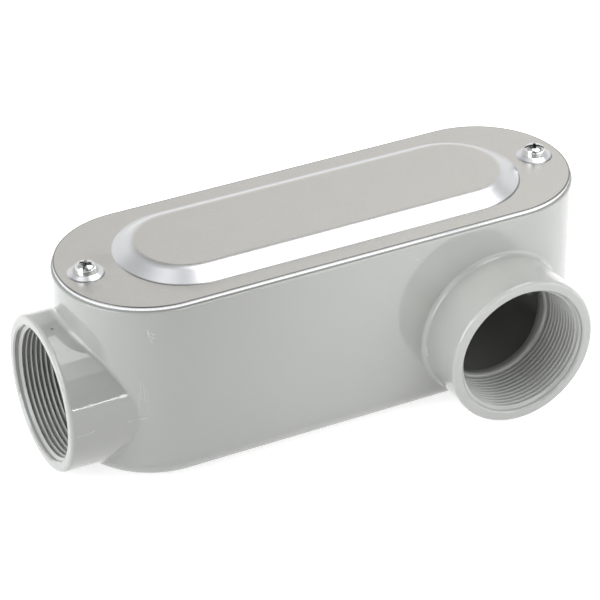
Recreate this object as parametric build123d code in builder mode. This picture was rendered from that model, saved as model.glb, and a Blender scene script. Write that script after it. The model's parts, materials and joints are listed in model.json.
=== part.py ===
# Conduit body, LR pattern, for 2 inch rigid conduit.
# Cast aluminium housing with an access opening on top, one threaded hub on the end and
# one on the side, closed by a gasket and a stamped cover held with two screws.
# Millimetres. +X runs from the end hub to the closed end, +Z from the back to the cover.
# The origin is the middle of the flat back face.
import os
from math import atan2, degrees, tan

from build123d import *

os.makedirs("parts", exist_ok=True)

# Housing
body_length = 244.0
body_width = 82.0
body_height = 87.0
wall = 4.0
floor_thickness = 4.5
back_radius = 12.5
rim_radius = 0.7
inside_radius = 6.0

# Hubs, for taper pipe thread of 11.5 turns to the inch, bored to its major diameter
thread_major_radius = 30.1
hub_wall = 4.9
hub_floor_gap = 0.2
thread_length = 25.5
end_hub_reach = 11.0
side_hub_reach = 25.5
side_hub_from_closed_end = 55.2
lip_radius = 1.7
entry_chamfer = 0.6
hub_root_radius = 2.0

# Integral bushings, the smooth rings that stop the conduit
bushing_ledge = 4.3
bushing_thickness = 4.0
bushing_edge_radius = 1.5

# Bosses for the cover screws
screw_from_end = 13.0
boss_radius = 6.5
boss_depth = 15.0
boss_web_depth = 8.0
boss_web_width = 6.5
boss_hole_depth = 12.5

# Gasket
gasket_thickness = 0.8
gasket_inset = 1.1
gasket_rail_width = 6.9
gasket_screw_land = 8.0
gasket_hole_radius = 2.8

# Cover, stamped from sheet. Its plateau lies a little nearer the closed end.
cover_inset = 1.0
cover_thickness = 1.6
cover_edge_radius = 0.35
plateau_shift = 1.1
plateau_end_margin = 25.4
plateau_side_margin = 8.8
plateau_height = 4.5
plateau_slope_run = 8.2
plateau_top_radius = 7.0
plateau_foot_radius = 0.9
dimple_foot_radius = 8.0
dimple_height = 1.5
dimple_slope_run = 2.4
dimple_edge_radius = 1.4
cover_hole_radius = 2.65

# Cover screws, pan head with a slot and a cross recess. The dome's profile passes through a
# point given as shares of the head's radius and of the dome's rise.
screw_radius = 2.4
screw_length = 12.7
screw_fit = 0.06
screw_tip_chamfer = 0.5
head_radius = 4.6
head_height = 3.6
head_side_height = 1.1
dome_mid_across = 0.62
dome_mid_up = 0.82
slot_width = 1.4
slot_depth = 1.6
cross_length = 5.2
cross_width = 1.3
cross_depth = 2.3
cross_taper = 8.0
end_screw_slot_angle = 60.0
closed_screw_slot_angle = 152.0

# How far from its place an edge may be measured, and how far a cut runs past what it cuts
position_tolerance = 0.01
cut_overrun = 1.0

# Sizes that follow
end_x = body_length / 2
side_y = body_width / 2
end_hub_face_x = -(end_x + end_hub_reach)
side_hub_face_y = -(side_y + side_hub_reach)
side_hub_x = end_x - side_hub_from_closed_end
hub_outer_radius = thread_major_radius + hub_wall
hub_axis_height = hub_outer_radius + hub_floor_gap
bushing_radius = thread_major_radius - bushing_ledge
screw_x = end_x - screw_from_end
hub_bore_length = thread_length + bushing_thickness
end_bushing_x = end_hub_face_x + thread_length
side_bushing_y = side_hub_face_y + thread_length
boss_bottom_z = body_height - boss_depth
cover_z = body_height + gasket_thickness
cover_top_z = cover_z + cover_thickness
head_seat_z = cover_top_z + dimple_height

# Planes at the two hub faces, each looking into its hub
end_hub_plane = Plane((end_hub_face_x, 0, hub_axis_height), x_dir=(0, 1, 0), z_dir=(1, 0, 0))
side_hub_plane = Plane((side_hub_x, side_hub_face_y, hub_axis_height), x_dir=(1, 0, 0), z_dir=(0, 1, 0))


def circles_on(part, radius, axis, position):
    """Round edges of one radius that lie across an axis at one position."""
    round_edges = part.edges().filter_by(GeomType.CIRCLE)
    same_size = round_edges.filter_by(lambda edge: abs(edge.radius - radius) < position_tolerance)
    return same_size.filter_by_position(axis, position - position_tolerance, position + position_tolerance)


# Cavity of the housing, open at the rim
with BuildPart() as cavity:
    with BuildSketch(Plane.XY.offset(floor_thickness)):
        SlotOverall(body_length - 2 * wall, body_width - 2 * wall)
    extrude(amount=body_height)
    fillet(cavity.faces().sort_by(Axis.Z)[0].edges(), inside_radius)

# Housing casting
with BuildPart() as body:
    with BuildSketch():
        SlotOverall(body_length, body_width)
    extrude(amount=body_height)
    fillet(body.faces().sort_by(Axis.Z)[0].edges(), back_radius)
    # Both hubs run well into the solid, with a cast fillet at the root
    for hub_plane, reach in ((end_hub_plane, end_hub_reach), (side_hub_plane, side_hub_reach)):
        with BuildSketch(hub_plane):
            Circle(hub_outer_radius)
        extrude(amount=reach + side_y)
        fillet(body.edges(Select.NEW), hub_root_radius)
    fillet(circles_on(body, hub_outer_radius, Axis.X, end_hub_face_x), lip_radius)
    fillet(circles_on(body, hub_outer_radius, Axis.Y, side_hub_face_y), lip_radius)
    rim_edges = body.faces().sort_by(Axis.Z)[-1].edges()
    fillet(rim_edges, rim_radius)
    add(cavity.part, mode=Mode.SUBTRACT)
    # Inner end of the end hub, a tube that stands in the cavity
    with BuildSketch(end_hub_plane.offset(end_hub_reach + wall)):
        Circle(hub_outer_radius)
    extrude(amount=hub_bore_length - end_hub_reach - wall)
    # Screw bosses, joined to the end walls and sloped off below
    for side in (-1, 1):
        wall_x = side * (end_x - wall / 2)
        boss_x = side * screw_x
        boss_edge_x = side * (screw_x - boss_radius)
        with BuildSketch(Plane.XY.offset(body_height)):
            with Locations((boss_x, 0)):
                Circle(boss_radius)
            with Locations(((boss_x + wall_x) / 2, 0)):
                Rectangle(abs(wall_x - boss_x), 2 * boss_radius)
        extrude(amount=-boss_depth)
        with BuildSketch(Plane.XZ):
            with BuildLine():
                Polyline(
                    (boss_edge_x, boss_bottom_z),
                    (wall_x, boss_bottom_z),
                    (wall_x, boss_bottom_z - boss_web_depth),
                    close=True,
                )
            make_face()
        extrude(amount=boss_web_width / 2, both=True)
    # Thread bores, and the smooth bushings behind them
    for hub_plane in (end_hub_plane, side_hub_plane):
        with BuildSketch(hub_plane):
            Circle(thread_major_radius)
        extrude(amount=thread_length, mode=Mode.SUBTRACT)
        with BuildSketch(hub_plane):
            Circle(bushing_radius)
        extrude(amount=hub_bore_length + wall, mode=Mode.SUBTRACT)
    chamfer(circles_on(body, thread_major_radius, Axis.X, end_hub_face_x), entry_chamfer)
    chamfer(circles_on(body, thread_major_radius, Axis.Y, side_hub_face_y), entry_chamfer)
    fillet(circles_on(body, bushing_radius, Axis.X, end_bushing_x), bushing_edge_radius)
    fillet(circles_on(body, bushing_radius, Axis.Y, side_bushing_y), bushing_edge_radius)
    end_tube_x = end_bushing_x + bushing_thickness
    fillet(circles_on(body, bushing_radius, Axis.X, end_tube_x), bushing_edge_radius)
    # Blind holes for the cover screws
    with BuildSketch(Plane.XY.offset(body_height)):
        with Locations((-screw_x, 0), (screw_x, 0)):
            Circle(screw_radius + screw_fit)
    extrude(amount=-boss_hole_depth, mode=Mode.SUBTRACT)
body.part.label = "body"
export_step(body.part, "parts/body.step")

# Gasket, a flat ring with lands round the screw holes
gasket_opening_length = 2 * (screw_x - gasket_screw_land)
gasket_opening_width = body_width - 2 * (gasket_inset + gasket_rail_width)
with BuildPart() as gasket:
    with BuildSketch(Plane.XY.offset(body_height)):
        SlotOverall(body_length - 2 * gasket_inset, body_width - 2 * gasket_inset)
        SlotOverall(gasket_opening_length, gasket_opening_width, mode=Mode.SUBTRACT)
        with Locations((-screw_x, 0), (screw_x, 0)):
            Circle(gasket_hole_radius, mode=Mode.SUBTRACT)
    extrude(amount=gasket_thickness)
gasket.part.label = "gasket"
export_step(gasket.part, "parts/gasket.step")

# Cover: flat rim, raised plateau and two screw dimples, hollow underneath
cover_length = body_length - 2 * cover_inset
cover_width = body_width - 2 * cover_inset
plateau_length = cover_length - 2 * plateau_end_margin
plateau_width = cover_width - 2 * plateau_side_margin
plateau_taper = degrees(atan2(plateau_slope_run, plateau_height))
plateau_sheet_inset = cover_thickness * tan(atan2(plateau_height, plateau_slope_run) / 2)
dimple_taper = degrees(atan2(dimple_slope_run, dimple_height))
dimple_sheet_inset = cover_thickness * tan(atan2(dimple_height, dimple_slope_run) / 2)
with BuildPart() as cover:
    with BuildSketch(Plane.XY.offset(cover_z)):
        SlotOverall(cover_length, cover_width)
    extrude(amount=cover_thickness)
    fillet(cover.faces().sort_by(Axis.Z)[-1].edges(), cover_edge_radius)
    with BuildSketch(Plane.XY.offset(cover_top_z)):
        with Locations((plateau_shift, 0)):
            SlotOverall(plateau_length, plateau_width)
    extrude(amount=plateau_height, taper=plateau_taper)
    plateau_edges = cover.edges(Select.LAST)
    fillet(plateau_edges.group_by(Axis.Z)[0], plateau_foot_radius)
    fillet(cover.faces().sort_by(Axis.Z)[-1].edges(), plateau_top_radius)
    for side in (-1, 1):
        with BuildSketch(Plane.XY.offset(cover_top_z)):
            with Locations((side * screw_x, 0)):
                Circle(dimple_foot_radius)
        extrude(amount=dimple_height, taper=dimple_taper)
        fillet(cover.edges(Select.LAST).filter_by(GeomType.CIRCLE), dimple_edge_radius)
    with BuildSketch(Plane.XY.offset(cover_z)):
        with Locations((plateau_shift, 0)):
            SlotOverall(plateau_length - 2 * plateau_sheet_inset, plateau_width - 2 * plateau_sheet_inset)
    extrude(amount=plateau_height, taper=plateau_taper, mode=Mode.SUBTRACT)
    with BuildSketch(Plane.XY.offset(cover_z)):
        with Locations((-screw_x, 0), (screw_x, 0)):
            Circle(dimple_foot_radius - dimple_sheet_inset)
    extrude(amount=dimple_height, taper=dimple_taper, mode=Mode.SUBTRACT)
    with BuildSketch(Plane.XY.offset(cover_z)):
        with Locations((-screw_x, 0), (screw_x, 0)):
            Circle(cover_hole_radius)
    extrude(amount=cover_thickness + dimple_height, mode=Mode.SUBTRACT)
cover.part.label = "cover"
export_step(cover.part, "parts/cover.step")


def cover_screw(name, x, slot_angle):
    """One pan head screw standing in its boss, with its slot turned to an angle."""
    tip_z = head_seat_z - screw_length
    dome_rise = head_height - head_side_height
    crown = (0, head_seat_z + head_height)
    shoulder = (head_radius, head_seat_z + head_side_height)
    mid_dome = (head_radius * dome_mid_across, head_seat_z + head_side_height + dome_rise * dome_mid_up)
    with BuildPart() as screw:
        with BuildSketch(Plane.XZ):
            with BuildLine():
                Spline(crown, mid_dome, shoulder, tangents=((1, 0), (0, -1)))
                Line(shoulder, (head_radius, head_seat_z))
                Line((head_radius, head_seat_z), (screw_radius, head_seat_z))
                Line((screw_radius, head_seat_z), (screw_radius, tip_z))
                Line((screw_radius, tip_z), (0, tip_z))
                Line((0, tip_z), crown)
            make_face()
        revolve(axis=Axis.Z)
        chamfer(screw.edges().group_by(Axis.Z)[0], screw_tip_chamfer)
        with BuildSketch(Plane.XY.offset(head_seat_z + head_height)):
            Rectangle(2 * (head_radius + cut_overrun), slot_width, rotation=slot_angle)
        extrude(amount=-slot_depth, mode=Mode.SUBTRACT)
        with BuildSketch(Plane.XY.offset(head_seat_z + head_height)):
            Rectangle(cross_length, cross_width, rotation=slot_angle)
            Rectangle(cross_length, cross_width, rotation=slot_angle + 90)
        extrude(amount=-cross_depth, taper=cross_taper, mode=Mode.SUBTRACT)
    screw.part.position = (x, 0, 0)
    screw.part.label = name
    export_step(screw.part, "parts/" + name + ".step")


cover_screw("end_screw", -screw_x, end_screw_slot_angle)
cover_screw("closed_screw", screw_x, closed_screw_slot_angle)
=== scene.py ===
"""Looks of the conduit body: grey paint on the casting, tumbled cover sheet, zinc screws and cut threads."""
import json
import math

import bpy
from mathutils import Matrix, Vector


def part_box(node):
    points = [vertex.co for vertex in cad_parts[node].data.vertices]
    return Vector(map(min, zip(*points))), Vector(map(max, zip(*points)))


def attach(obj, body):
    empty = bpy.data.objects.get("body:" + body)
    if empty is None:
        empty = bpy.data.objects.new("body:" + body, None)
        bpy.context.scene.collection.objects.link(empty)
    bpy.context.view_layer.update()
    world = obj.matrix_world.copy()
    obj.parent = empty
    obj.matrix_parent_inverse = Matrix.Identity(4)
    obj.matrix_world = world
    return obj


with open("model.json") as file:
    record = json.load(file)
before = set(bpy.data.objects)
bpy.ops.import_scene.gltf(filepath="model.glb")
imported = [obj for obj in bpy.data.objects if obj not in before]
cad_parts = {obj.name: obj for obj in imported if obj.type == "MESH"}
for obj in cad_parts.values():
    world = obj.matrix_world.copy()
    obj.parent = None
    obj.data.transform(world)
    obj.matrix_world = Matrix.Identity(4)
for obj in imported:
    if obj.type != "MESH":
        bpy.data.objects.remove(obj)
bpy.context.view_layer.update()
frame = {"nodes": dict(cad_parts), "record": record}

MM = 0.001
MM_PER_INCH = 25.4
WHITE = (1, 1, 1, 1)

# Hubs and their taper pipe thread
MOUNTS = {mount["name"]: mount for mount in frame["record"]["mounts"]}
BORE_RADIUS = MOUNTS["end_hub"]["dims"]["r_mm"] * MM
THREAD_LENGTH = 25.5 * MM
THREAD_TURNS_PER_INCH = 11.5
THREAD_PITCH = MM_PER_INCH / THREAD_TURNS_PER_INCH * MM
THREAD_DEPTH = 1.6 * MM
THREAD_WALL_GAP = 0.04 * MM
THREAD_SKIN = 0.03 * MM
THREAD_TAPER = 1 / 32
THREAD_SLEEVE_START = 0.65 * MM
THREAD_FIRST_RISE = 1.4 * MM
THREAD_FULL_RISE = 3.2 * MM
THREAD_CREST_SHARE = 0.16
THREAD_ROOT_SHARE = 0.12
THREAD_ROUNDING = 0.35
THREAD_STEPS_ROUND = 180
THREAD_STEPS_PER_TURN = 12

# Round-ended outline of the cover, which the cavity's outline follows
COVER_LOW, COVER_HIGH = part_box("cover")
COVER_RADIUS = (COVER_HIGH.y - COVER_LOW.y) / 2
COVER_END = (COVER_HIGH.x - COVER_LOW.x) / 2 - COVER_RADIUS

# Camera, from the fit to the photograph's outline
CAMERA_PLACE = Vector((-0.47208, -0.93017, 0.70795))
CAMERA_AZIMUTH = -26.4768
CAMERA_ELEVATION = 32.4717
CAMERA_ROLL = -0.3851
SENSOR_WIDTH = 36.0
CAMERA_LENS = 167.584


def hub_frame(mount):
    """The turn and place that carry +Z onto a hub's inward axis, with the origin at the hub's face."""
    outward = Vector(mount["axis"])
    centre = Vector(mount["pos_m"])
    low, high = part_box("body")
    face = high if sum(outward) > 0 else low
    reach = abs((face - centre).dot(outward))
    turn = (-outward).to_track_quat("Z", "Y").to_matrix().to_4x4()
    return Matrix.Translation(centre + outward * reach) @ turn


def new_piece(name, vertices, faces, material, body):
    """A smooth mesh of the object, riding on one of its bodies."""
    mesh = bpy.data.meshes.new(name)
    mesh.from_pydata(vertices, [], faces)
    mesh.update()
    piece = bpy.data.objects.new(name, mesh)
    bpy.context.scene.collection.objects.link(piece)
    mesh.materials.append(material)
    mesh.polygons.foreach_set("use_smooth", [True] * len(mesh.polygons))
    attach(piece, body)


def smooth_step(low, high, value):
    """0 below low, 1 above high and a smooth rise between them."""
    share = min(1.0, max(0.0, (value - low) / (high - low)))
    return share * share * (3 - 2 * share)


def thread_height(turns):
    """Height of the thread's ridge at a count of turns along the bore: 0 in the groove, 1 on the crest."""
    share = abs(turns % 1.0 - 0.5) * 2
    flank = 1 - THREAD_CREST_SHARE - THREAD_ROOT_SHARE
    rise = min(1.0, max(0.0, (1 - share - THREAD_ROOT_SHARE) / flank))
    return THREAD_ROUNDING * smooth_step(0, 1, rise) + (1 - THREAD_ROUNDING) * rise


def hub_thread(name, mount, material):
    """A hub's internal thread: a closed sleeve in the bore, whose helical ridge narrows with depth."""
    place = hub_frame(mount)
    length = THREAD_LENGTH - THREAD_SLEEVE_START
    rows = round(length / THREAD_PITCH * THREAD_STEPS_PER_TURN)
    groove = BORE_RADIUS - THREAD_WALL_GAP
    rings = [(THREAD_SLEEVE_START, False)]
    rings += [(THREAD_SLEEVE_START + length * row / rows, True) for row in range(rows + 1)]
    rings += [(THREAD_LENGTH, False)]
    vertices = []
    for depth, threaded in rings:
        rise = smooth_step(THREAD_FIRST_RISE, THREAD_FULL_RISE, depth)
        for step in range(THREAD_STEPS_ROUND):
            share = step / THREAD_STEPS_ROUND
            radius = groove + THREAD_SKIN
            if threaded:
                ridge = thread_height(depth / THREAD_PITCH - share)
                radius = groove - THREAD_DEPTH * ridge * rise - depth * THREAD_TAPER * rise
            angle = 2 * math.pi * share
            vertices.append(place @ Vector((radius * math.cos(angle), radius * math.sin(angle), depth)))
    faces = []
    for ring in range(len(rings)):
        after = (ring + 1) % len(rings)
        for step in range(THREAD_STEPS_ROUND):
            beside = (step + 1) % THREAD_STEPS_ROUND
            corners = ((ring, step), (after, step), (after, beside), (ring, beside))
            faces.append([row * THREAD_STEPS_ROUND + column for row, column in corners])
    new_piece(name, vertices, faces, material, "housing")


# Sockets of the mix node that carry its colours
MIX_FIRST_COLOUR = 6
MIX_SECOND_COLOUR = 7
MIX_RESULT_COLOUR = 2

# Share of a stroke's radius over which it has its full strength
STROKE_CORE = 0.3


class Shading:
    """A material or world node tree, with short calls for the nodes that the looks need."""

    def __init__(self, tree):
        self.tree = tree

    def add(self, kind, **settings):
        """A node of one kind with its settings."""
        node = self.tree.nodes.new(kind)
        for setting, value in settings.items():
            setattr(node, setting, value)
        return node

    def put(self, value, socket):
        """Links an output to a socket, or sets the socket's own value."""
        if isinstance(value, bpy.types.NodeSocket):
            self.tree.links.new(value, socket)
        else:
            socket.default_value = value

    def split(self, vector):
        """The X, Y and Z of a vector, by their names."""
        node = self.add("ShaderNodeSeparateXYZ")
        self.put(vector, node.inputs[0])
        return node.outputs

    def math(self, operation, first, second=0.0, clamp=False):
        """One calculation with two values."""
        node = self.add("ShaderNodeMath", operation=operation, use_clamp=clamp)
        self.put(first, node.inputs[0])
        self.put(second, node.inputs[1])
        return node.outputs[0]

    def product(self, first, *others):
        """Several values multiplied together."""
        for other in others:
            first = self.math("MULTIPLY", first, other)
        return first

    def ramp(self, value, low, high, to_low=0.0, to_high=1.0):
        """A smooth change from to_low to to_high while a value goes from low to high."""
        node = self.add("ShaderNodeMapRange", interpolation_type="SMOOTHSTEP")
        for socket, number in zip(node.inputs, (value, low, high, to_low, to_high)):
            self.put(number, socket)
        return node.outputs[0]

    def fall(self, value, low, high):
        """1 below low, 0 above high and a smooth fall between them."""
        return self.ramp(value, low, high, to_low=1.0, to_high=0.0)

    def mix(self, share, first, second):
        """A blend of two colours."""
        node = self.add("ShaderNodeMix", data_type="RGBA")
        self.put(share, node.inputs[0])
        self.put(first, node.inputs[MIX_FIRST_COLOUR])
        self.put(second, node.inputs[MIX_SECOND_COLOUR])
        return node.outputs[MIX_RESULT_COLOUR]

    def noise(self, place, size, detail=2.0):
        """Cloudy noise from 0 to 1 whose blotches are about one size, in metres."""
        node = self.add("ShaderNodeTexNoise")
        self.put(place, node.inputs["Vector"])
        node.inputs["Scale"].default_value = 1 / size
        node.inputs["Detail"].default_value = detail
        return node.outputs[0]

    def spot(self, place, centre, radius, edge):
        """1 inside a ball round a point in millimetres, 0 outside it. Its edge is the share that fades."""
        node = self.add("ShaderNodeVectorMath", operation="DISTANCE")
        self.put(place, node.inputs[0])
        node.inputs[1].default_value = Vector(centre) * MM
        return self.fall(node.outputs["Value"], radius * MM * (1 - edge), radius * MM)

    def stroke(self, place, start, end, radius):
        """1 along the line between two points in millimetres, fading out at a radius from it."""
        run = (Vector(end) - Vector(start)) * MM
        offset = self.add("ShaderNodeVectorMath", operation="SUBTRACT")
        self.put(place, offset.inputs[0])
        offset.inputs[1].default_value = Vector(start) * MM
        along = self.add("ShaderNodeVectorMath", operation="DOT_PRODUCT")
        self.put(offset.outputs[0], along.inputs[0])
        along.inputs[1].default_value = run / run.length_squared
        share = self.math("MULTIPLY", along.outputs["Value"], 1.0, clamp=True)
        nearest = self.add("ShaderNodeVectorMath", operation="SCALE")
        nearest.inputs[0].default_value = run
        self.put(share, nearest.inputs["Scale"])
        gap = self.add("ShaderNodeVectorMath", operation="DISTANCE")
        self.put(offset.outputs[0], gap.inputs[0])
        self.put(nearest.outputs[0], gap.inputs[1])
        return self.fall(gap.outputs["Value"], radius * MM * STROKE_CORE, radius * MM)

    def strokes(self, place, lines):
        """1 along any of several lines, each given as start, end, radius and strength."""
        total = 0.0
        for start, end, radius, strength in lines:
            line = self.product(self.stroke(place, start, end, radius), strength)
            total = self.math("MAXIMUM", total, line)
        return total

    def reach(self, position):
        """How far a place, split into X, Y and Z, lies from the round-ended outline's middle line."""
        past_end = self.math("SUBTRACT", self.math("ABSOLUTE", position["X"]), COVER_END)
        past_end = self.math("MAXIMUM", past_end, 0.0)
        along = self.product(past_end, past_end)
        across = self.product(position["Y"], position["Y"])
        return self.math("SQRT", self.math("ADD", along, across))

    def bump(self, height, distance):
        """A bump of the surface, as high as a distance in metres."""
        node = self.add("ShaderNodeBump")
        self.put(height, node.inputs["Height"])
        node.inputs["Distance"].default_value = distance
        node.inputs["Strength"].default_value = 1.0
        return node.outputs[0]


def new_material(name, base, metallic, roughness):
    """A material, its shader and its node tree. The base is what shows where nothing is linked over it."""
    material = bpy.data.materials.new(name)
    material.use_nodes = True
    shader = material.node_tree.nodes["Principled BSDF"]
    shader.inputs["Base Color"].default_value = (*base, 1)
    shader.inputs["Metallic"].default_value = metallic
    shader.inputs["Roughness"].default_value = roughness
    return material, shader, Shading(material.node_tree)


# Paint, its tints and the sizes of its clouds, specks and orange peel
PAINT_BASE = (0.49, 0.495, 0.47)
PAINT_DEEP = (0.450, 0.454, 0.432, 1)
PAINT_PALE = (0.472, 0.474, 0.446, 1)
PAINT_SPECK = (0.62, 0.63, 0.60, 1)
# Painted shade inside the cavity
PAINT_INSIDE_SHADE = (0.31, 0.31, 0.30, 1)
# Light scuffs, and a painted highlight on the side hub's root
PAINT_SCUFF_AND_HIGHLIGHT = (0.74, 0.76, 0.77, 1)
# Dark spots: a pit, and painted shade in a crease
PAINT_DARK_SPOT = (0.12, 0.12, 0.115, 1)
PAINT_CLOUD_SIZE = 45 * MM
PAINT_SPECK_SIZE = 0.45 * MM
PEEL_SIZE = 1.6 * MM
PEEL_HEIGHT = 0.04 * MM
SCUFF_GRAIN_SIZE = 0.8 * MM
SCUFF_ROUGHNESS = 0.3

# Bounds of the painted shade inside the cavity: the middle of the wall, the inside of the floor and
# just under the rim's top. They also take in the lowest part of the rounded edge round the back.
INSIDE_LIMIT = COVER_RADIUS - 1 * MM
INSIDE_LOW = 2 * MM
INSIDE_HIGH = 86 * MM
INSIDE_FADE = 1 * MM

# Scuffs, scratches and the parting line in the paint, and last a painted highlight on the side hub's root,
# as start, end and radius in millimetres, and strength
SCUFFS_AND_HIGHLIGHT = (
    ((-97.7, -37.4, 78.9), (-97.3, -37.6, 75.8), 0.4, 0.7),
    ((-97.3, -37.6, 75.6), (-95.6, -38.3, 74.8), 0.5, 0.6),
    ((-96.5, -38.0, 77.3), (-95.4, -38.4, 76.4), 0.4, 0.7),
    ((-96.9, -37.8, 74.2), (-96.2, -38.1, 72.6), 0.4, 0.4),
    ((-101.4, -35.5, 52.8), (-101.3, -35.6, 44.0), 0.25, 0.35),
    ((-100.2, -36.2, 51.8), (-99.7, -36.5, 43.0), 0.25, 0.35),
    ((-102.2, -35.1, 46.8), (-102.1, -35.1, 36.0), 0.25, 0.3),
    ((-98.9, -36.9, 50.0), (-98.6, -37.0, 38.0), 0.2, 0.2),
    ((-130.9, -35.0, 33.7), (-124.8, -35.0, 33.8), 0.3, 0.5),
    ((-124.8, -35.0, 33.8), (-122.5, -35.0, 34.9), 0.3, 0.6),
    ((-107.5, -35.0, 34.2), (-103.4, -34.5, 34.4), 0.4, 0.5),
    ((-102.8, -34.8, 34.2), (-99.0, -36.7, 34.6), 0.35, 0.4),
    ((26.5, -41.0, 80.3), (28.2, -41.0, 79.2), 0.4, 0.25),
    # Painted highlight along the side hub's root, at the step in the parting line
    ((31.9, -42.4, 34.0), (32.0, -42.8, 30.0), 0.9, 0.55),
)

# Dark spots in the paint: a pit at the left end, and painted shade in the crease at the nub on the side
# hub, as centre and radius in millimetres, and strength
DARK_SPOTS = (((-127.6, -5.3, 69.8), 1.0, 0.75), ((33.5, -60.8, 24.4), 0.9, 0.4))


def grey_paint():
    """Gloss paint with orange peel, wear, a painted highlight, dark spots and painted shade inside."""
    material, shader, nodes = new_material("grey_paint", PAINT_BASE, metallic=0.0, roughness=0.16)
    place = nodes.add("ShaderNodeTexCoord").outputs["Object"]
    cloud = nodes.noise(place, PAINT_CLOUD_SIZE)
    speckle = nodes.noise(place, PAINT_SPECK_SIZE, detail=1.0)
    tint = nodes.mix(cloud, PAINT_DEEP, PAINT_PALE)
    tint = nodes.mix(nodes.ramp(speckle, low=0.2, high=0.8, to_high=0.1), tint, PAINT_SPECK)

    position = nodes.split(place)
    # Painted shade: a darker tone inside the cavity
    inside = nodes.product(
        nodes.fall(nodes.reach(position), INSIDE_LIMIT - INSIDE_FADE / 2, INSIDE_LIMIT),
        nodes.ramp(position["Z"], INSIDE_LOW - INSIDE_FADE, INSIDE_LOW),
        nodes.fall(position["Z"], INSIDE_HIGH, INSIDE_HIGH + INSIDE_FADE),
    )
    tint = nodes.mix(inside, tint, PAINT_INSIDE_SHADE)

    ragged = nodes.noise(place, SCUFF_GRAIN_SIZE, detail=3.0)
    ragged = nodes.ramp(ragged, low=0.35, high=0.6, to_low=0.35)
    # Scuffs, and a painted highlight on the side hub's root, in a light tone
    scuff_and_highlight = nodes.product(nodes.strokes(place, SCUFFS_AND_HIGHLIGHT), ragged)
    tint = nodes.mix(scuff_and_highlight, tint, PAINT_SCUFF_AND_HIGHLIGHT)
    # Dark spots: a pit, and painted shade in the nub's crease
    for centre, radius, strength in DARK_SPOTS:
        dark_spot = nodes.product(nodes.spot(place, centre, radius, edge=0.7), strength)
        tint = nodes.mix(dark_spot, tint, PAINT_DARK_SPOT)
    nodes.put(tint, shader.inputs["Base Color"])

    shader.inputs["IOR"].default_value = 1.55
    shader.inputs["Coat Weight"].default_value = 0.6
    shader.inputs["Coat Roughness"].default_value = 0.02
    gloss = nodes.ramp(cloud, low=0.3, high=0.7, to_low=0.05, to_high=0.09)
    dulled = nodes.product(scuff_and_highlight, SCUFF_ROUGHNESS)
    nodes.put(nodes.math("ADD", gloss, dulled), shader.inputs["Roughness"])
    nodes.put(nodes.bump(nodes.noise(place, PEEL_SIZE), PEEL_HEIGHT), shader.inputs["Normal"])
    return material


# Cover sheet, its tones and the sizes of its grain and clouds
SHEET_BASE = (0.68, 0.67, 0.64)
SHEET_DEEP = (0.77, 0.755, 0.71, 1)
SHEET_PALE = (0.84, 0.825, 0.785, 1)
SHEET_FINE = (0.87, 0.855, 0.815, 1)
SHEET_SMUDGED = (0.62, 0.605, 0.56, 1)
SHEET_SLOPE = (0.86, 0.87, 0.89, 1)
SHEET_CUT = (0.5, 0.495, 0.47, 1)
# Painted shade along the arris of the cover's edge
SHEET_ARRIS_SHADE = (0.16, 0.16, 0.15, 1)
# Painted shade at the foot of the slopes
SHEET_FOOT_SHADE = (0.13, 0.13, 0.125, 1)
SHEET_GRAIN_SIZE = 0.5 * MM
SHEET_GRAIN_HEIGHT = 0.01 * MM
SHEET_CLOUD_SIZE = 14 * MM
SHEET_SLOPE_ROUGHNESS = 0.31

# Top of the cover's flat, and the band of painted shade on the arris, measured inwards from its edge
SHEET_TOP_MM = 89.4
SHEET_TOP = SHEET_TOP_MM * MM
ARRIS_INNER = 0.85 * MM
ARRIS_OUTER = 0.45 * MM
ARRIS_STRENGTH = 0.7

# The cut edge's shear marks fade out just under the flat. The painted shade at the foot of the slopes
# comes up from under the flat and fades out over it.
CUT_FULL = 0.04 * MM
CUT_END = 0.01 * MM
FOOT_FULL = 0.1 * MM
FOOT_END = 0.5 * MM
FOOT_START = 1 * MM

# The marks of the shear lean over and are drawn out along their length
SHEAR_LEAN = math.radians(55)
SHEAR_STRETCH = 0.2

# Smudges on the flat, as centre and radius in millimetres, and strength
SMUDGES = (
    ((-112, -13, SHEET_TOP_MM), 17.0, 0.5),
    ((-95, 8, SHEET_TOP_MM), 14.0, 0.3),
    ((-70, -34, SHEET_TOP_MM), 12.0, 0.2),
)


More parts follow.
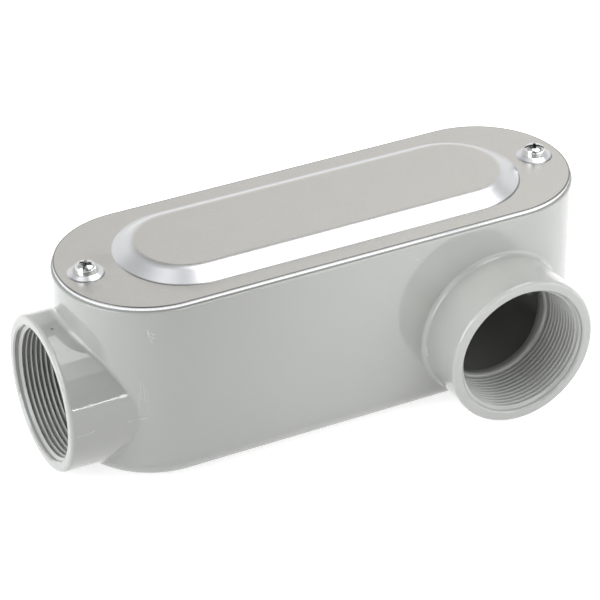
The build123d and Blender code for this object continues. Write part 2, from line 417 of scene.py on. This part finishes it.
def tumbled_sheet():
    """Cover sheet: matte flats, polished slopes, a sheared edge, smudges, and painted shade at edges and
    feet.
    """
    material, shader, nodes = new_material("tumbled_sheet", SHEET_BASE, metallic=1.0, roughness=0.4)
    coordinates = nodes.add("ShaderNodeTexCoord")
    place = coordinates.outputs["Object"]
    position = nodes.split(place)
    facing = nodes.split(coordinates.outputs["Normal"])
    upward = nodes.math("ABSOLUTE", facing["Z"])
    flat = nodes.ramp(upward, low=0.975, high=0.998)

    # Clouded flats with a fine grain, and brighter slopes
    grain = nodes.noise(place, SHEET_GRAIN_SIZE)
    cloud = nodes.noise(place, SHEET_CLOUD_SIZE, detail=3.0)
    matte = nodes.mix(cloud, SHEET_DEEP, SHEET_PALE)
    matte = nodes.mix(nodes.ramp(grain, low=0.3, high=0.7), matte, SHEET_FINE)
    for centre, radius, strength in SMUDGES:
        patch = nodes.ramp(cloud, low=0.4, high=0.65, to_high=strength)
        smudge = nodes.product(nodes.spot(place, centre, radius, edge=0.8), patch)
        matte = nodes.mix(smudge, matte, SHEET_SMUDGED)
    tone = nodes.mix(flat, SHEET_SLOPE, matte)

    # Shear marks on the cut edge
    slant = nodes.add("ShaderNodeMapping")
    slant.inputs["Rotation"].default_value = (0, SHEAR_LEAN, 0)
    slant.inputs["Scale"].default_value = (1, 1, SHEAR_STRETCH)
    nodes.put(place, slant.inputs["Vector"])
    shear = nodes.ramp(nodes.noise(slant.outputs[0], SHEET_GRAIN_SIZE), low=0.35, high=0.6)
    cut = nodes.product(
        nodes.fall(upward, low=0.05, high=0.2),
        nodes.fall(position["Z"], SHEET_TOP - CUT_FULL, SHEET_TOP - CUT_END),
        nodes.ramp(shear, low=0.0, high=1.0, to_low=0.55, to_high=0.3),
    )
    tone = nodes.mix(cut, tone, SHEET_CUT)

    # Painted shade along the cover's arris
    arris_shade = nodes.product(
        nodes.ramp(nodes.reach(position), COVER_RADIUS - ARRIS_INNER, COVER_RADIUS - ARRIS_OUTER),
        nodes.ramp(upward, low=0.25, high=0.6),
        ARRIS_STRENGTH,
    )
    tone = nodes.mix(arris_shade, tone, SHEET_ARRIS_SHADE)

    # Painted shade, a dark line at the foot of the slopes that face -Y
    foot_shade = nodes.product(
        nodes.fall(position["Z"], SHEET_TOP + FOOT_FULL, SHEET_TOP + FOOT_END),
        nodes.fall(upward, low=0.97, high=0.995),
        nodes.ramp(facing["Y"], low=-0.25, high=0.05, to_low=0.85, to_high=0.0),
        nodes.ramp(position["Z"], SHEET_TOP - FOOT_START, SHEET_TOP),
    )
    tone = nodes.mix(foot_shade, tone, SHEET_FOOT_SHADE)
    nodes.put(tone, shader.inputs["Base Color"])

    matte_roughness = nodes.ramp(grain, low=0.3, high=0.7, to_low=0.30, to_high=0.44)
    slope_roughness = nodes.ramp(flat, low=0.0, high=1.0, to_low=SHEET_SLOPE_ROUGHNESS, to_high=0.0)
    roughness = nodes.math("ADD", nodes.product(flat, matte_roughness), slope_roughness)
    nodes.put(roughness, shader.inputs["Roughness"])
    nodes.put(nodes.bump(grain, SHEET_GRAIN_HEIGHT), shader.inputs["Normal"])
    return material


# Zinc plating of the screws
ZINC_BASE = (0.86, 0.87, 0.88)
ZINC_DEEP = (0.80, 0.81, 0.82, 1)
ZINC_PALE = (0.90, 0.91, 0.92, 1)
# Painted shade in the slot and the cross punched into the heads
ZINC_RECESS_SHADE = (0.24, 0.24, 0.23, 1)
ZINC_CLOUD_SIZE = 1.2 * MM
PUNCH_REACH = 1.6 * MM
PUNCH_ROUGHNESS = 0.25


def bright_zinc():
    """Bright zinc on the screws, with painted shade in the punched slot and cross, which are also rougher.
    """
    material, shader, nodes = new_material("zinc", ZINC_BASE, metallic=1.0, roughness=0.1)
    place = nodes.add("ShaderNodeTexCoord").outputs["Object"]
    cloud = nodes.noise(place, ZINC_CLOUD_SIZE)
    hollow = nodes.add("ShaderNodeAmbientOcclusion", samples=8, only_local=True)
    hollow.inputs["Distance"].default_value = PUNCH_REACH
    # Painted shade, darker where ambient occlusion finds the slot and the cross
    recess_shade = nodes.fall(hollow.outputs["AO"], low=0.45, high=0.9)
    plated = nodes.mix(cloud, ZINC_DEEP, ZINC_PALE)
    nodes.put(nodes.mix(recess_shade, plated, ZINC_RECESS_SHADE), shader.inputs["Base Color"])
    shine = nodes.ramp(cloud, low=0.3, high=0.7, to_low=0.07, to_high=0.16)
    dulled = nodes.product(recess_shade, PUNCH_ROUGHNESS)
    nodes.put(nodes.math("ADD", shine, dulled), shader.inputs["Roughness"])
    return material


# Rubber of the gasket
RUBBER_BASE = (0.4, 0.4, 0.39)
RUBBER_DEEP = (0.37, 0.37, 0.36, 1)
RUBBER_PALE = (0.44, 0.44, 0.43, 1)
RUBBER_GRAIN_SIZE = 0.6 * MM


def gasket_rubber():
    """Light grey rubber of the gasket, with a fine grain."""
    material, shader, nodes = new_material("gasket_rubber", RUBBER_BASE, metallic=0.0, roughness=0.6)
    grain = nodes.noise(nodes.add("ShaderNodeTexCoord").outputs["Object"], RUBBER_GRAIN_SIZE)
    nodes.put(nodes.mix(grain, RUBBER_DEEP, RUBBER_PALE), shader.inputs["Base Color"])
    return material


paint = grey_paint()
zinc = bright_zinc()
NODE_MATERIALS = {
    "body": paint,
    "cover": tumbled_sheet(),
    "end_screw": zinc,
    "closed_screw": zinc,
    "gasket": gasket_rubber(),
}
for node, material in NODE_MATERIALS.items():
    mesh = frame["nodes"][node].data
    mesh.materials.clear()
    mesh.materials.append(material)

hub_thread("end_hub_thread", MOUNTS["end_hub"], paint)
hub_thread("side_hub_thread", MOUNTS["side_hub"], paint)


def area_light(name, place, target, width, height, radiance, colour):
    """A soft box that points at a target, with its brightness as a share of white."""
    data = bpy.data.lights.new(name, "AREA")
    data.shape = "RECTANGLE"
    data.size = width
    data.size_y = height
    data.energy = radiance * math.pi * width * height
    data.color = colour
    lamp = bpy.data.objects.new(name, data)
    bpy.context.scene.collection.objects.link(lamp)
    lamp.location = place
    aim = Vector(target) - Vector(place)
    lamp.rotation_mode = "QUATERNION"
    lamp.rotation_quaternion = aim.to_track_quat("-Z", "Y")


# Soft boxes, as name, place, target, width, height, radiance and colour
NEUTRAL = (1, 1, 1)
COOL = (0.93, 0.965, 1.0)
SOFT_BOXES = (
    ("overhead_box", (0.43, 0.0, 1.0), (0.08, 0, 0), 0.9, 0.55, 2.0, NEUTRAL),
    ("top_left_box", (-0.5, 0.0, 1.0), (0, 0, 0.05), 0.5, 0.7, 0.7, NEUTRAL),
    ("left_high_box", (-0.7, -0.1, 0.8), (0, 0, 0.05), 0.6, 0.5, 1.1, COOL),
    ("left_box", (-0.8, -0.1, 0.3), (0, 0, 0.05), 0.5, 0.5, 1.5, COOL),
    ("left_wall", (-1.5, -0.3, 0.6), (0, 0, 0.05), 1.2, 1.0, 2.1, COOL),
    ("near_front_box", (0.17, -0.24, 0.09), (0.05, 0, 0.04), 0.2, 0.2, 1.25, COOL),
    ("side_hub_box", (0.26, -0.14, 0.1), (0.08, -0.03, 0.04), 0.15, 0.15, 1.4, COOL),
    ("front_top_box", (0.3, -0.32, 0.8), (0.3, -0.319, 0), 0.5, 1.05, 0.8, NEUTRAL),
    ("corner_box", (0.012, -0.13, 0.09), (0.03, -0.045, 0.045), 0.06, 0.06, 1.6, NEUTRAL),
    ("horizon_strip", (0.26, -1.05, 0.06), (-0.12, 0, 0.05), 0.2, 0.02, 16.0, NEUTRAL),
)
for soft_box in SOFT_BOXES:
    area_light(*soft_box)

# Floor, a little under the object's back
FLOOR_HALF = 4.0
FLOOR_DROP = 0.2 * MM
FLOOR_BASE = (0.7, 0.7, 0.7)
FLOOR_GLOW = 0.75


def pale_floor():
    """A pale floor, lifted to white where the camera or a reflection sees it."""
    material, shader, nodes = new_material("pale_floor", FLOOR_BASE, metallic=0.0, roughness=0.9)
    rays = nodes.add("ShaderNodeLightPath").outputs
    seen = nodes.math("MAXIMUM", rays["Is Camera Ray"], rays["Is Glossy Ray"])
    seen = nodes.math("MAXIMUM", seen, rays["Is Transmission Ray"])
    shader.inputs["Emission Color"].default_value = WHITE
    nodes.put(nodes.product(seen, FLOOR_GLOW), shader.inputs["Emission Strength"])
    mesh = bpy.data.meshes.new("floor")
    corners = ((-1, -1), (1, -1), (1, 1), (-1, 1))
    mesh.from_pydata([(x * FLOOR_HALF, y * FLOOR_HALF, 0) for x, y in corners], [], [(0, 1, 2, 3)])
    mesh.materials.append(material)
    floor = bpy.data.objects.new("floor", mesh)
    bpy.context.scene.collection.objects.link(floor)
    floor.location.z = -FLOOR_DROP


pale_floor()

# Brightness of the studio's walls and ceiling, and what its front and the strip behind keep of it
WALL_LEVEL = 0.8
CEILING_LEVEL = 0.44
FRONT_SHARE = 0.28
STRIP_SHARE = 0.2


def studio():
    """A world of bright walls, darker in front and overhead, a dark strip behind, white to the camera."""
    world = bpy.data.worlds.new("studio")
    bpy.context.scene.world = world
    world.use_nodes = True
    background = world.node_tree.nodes["Background"]
    nodes = Shading(world.node_tree)
    aim = nodes.split(nodes.add("ShaderNodeTexCoord").outputs["Generated"])
    walls = nodes.ramp(aim["Z"], low=0.5, high=0.64, to_low=WALL_LEVEL, to_high=CEILING_LEVEL)
    front = nodes.ramp(aim["Y"], low=-0.6, high=0.2, to_low=FRONT_SHARE)
    strip = nodes.product(
        nodes.ramp(aim["Z"], low=0.57, high=0.66),
        nodes.fall(aim["Z"], low=0.82, high=0.9),
        nodes.ramp(aim["Y"], low=0.05, high=0.3),
        nodes.ramp(aim["X"], low=-0.1, high=0.15),
    )
    darkened = nodes.ramp(strip, low=0.0, high=1.0, to_low=1.0, to_high=STRIP_SHARE)
    level = nodes.product(walls, front, darkened)
    rays = nodes.add("ShaderNodeLightPath").outputs
    level = nodes.math("MAXIMUM", level, rays["Is Camera Ray"])
    background.inputs["Color"].default_value = WHITE
    nodes.put(level, background.inputs["Strength"])


studio()


def photo_camera():
    """The photograph's camera, as fitted to its outline."""
    data = bpy.data.cameras.new("camera")
    data.sensor_width = SENSOR_WIDTH
    data.lens = CAMERA_LENS
    camera = bpy.data.objects.new("camera", data)
    bpy.context.scene.collection.objects.link(camera)
    turn = (
        Matrix.Rotation(math.radians(CAMERA_AZIMUTH), 4, "Z")
        @ Matrix.Rotation(math.radians(90 - CAMERA_ELEVATION), 4, "X")
        @ Matrix.Rotation(math.radians(CAMERA_ROLL), 4, "Z")
    )
    camera.matrix_world = Matrix.Translation(CAMERA_PLACE) @ turn
    bpy.context.scene.camera = camera


photo_camera()
bpy.context.scene.view_settings.view_transform = "Standard"
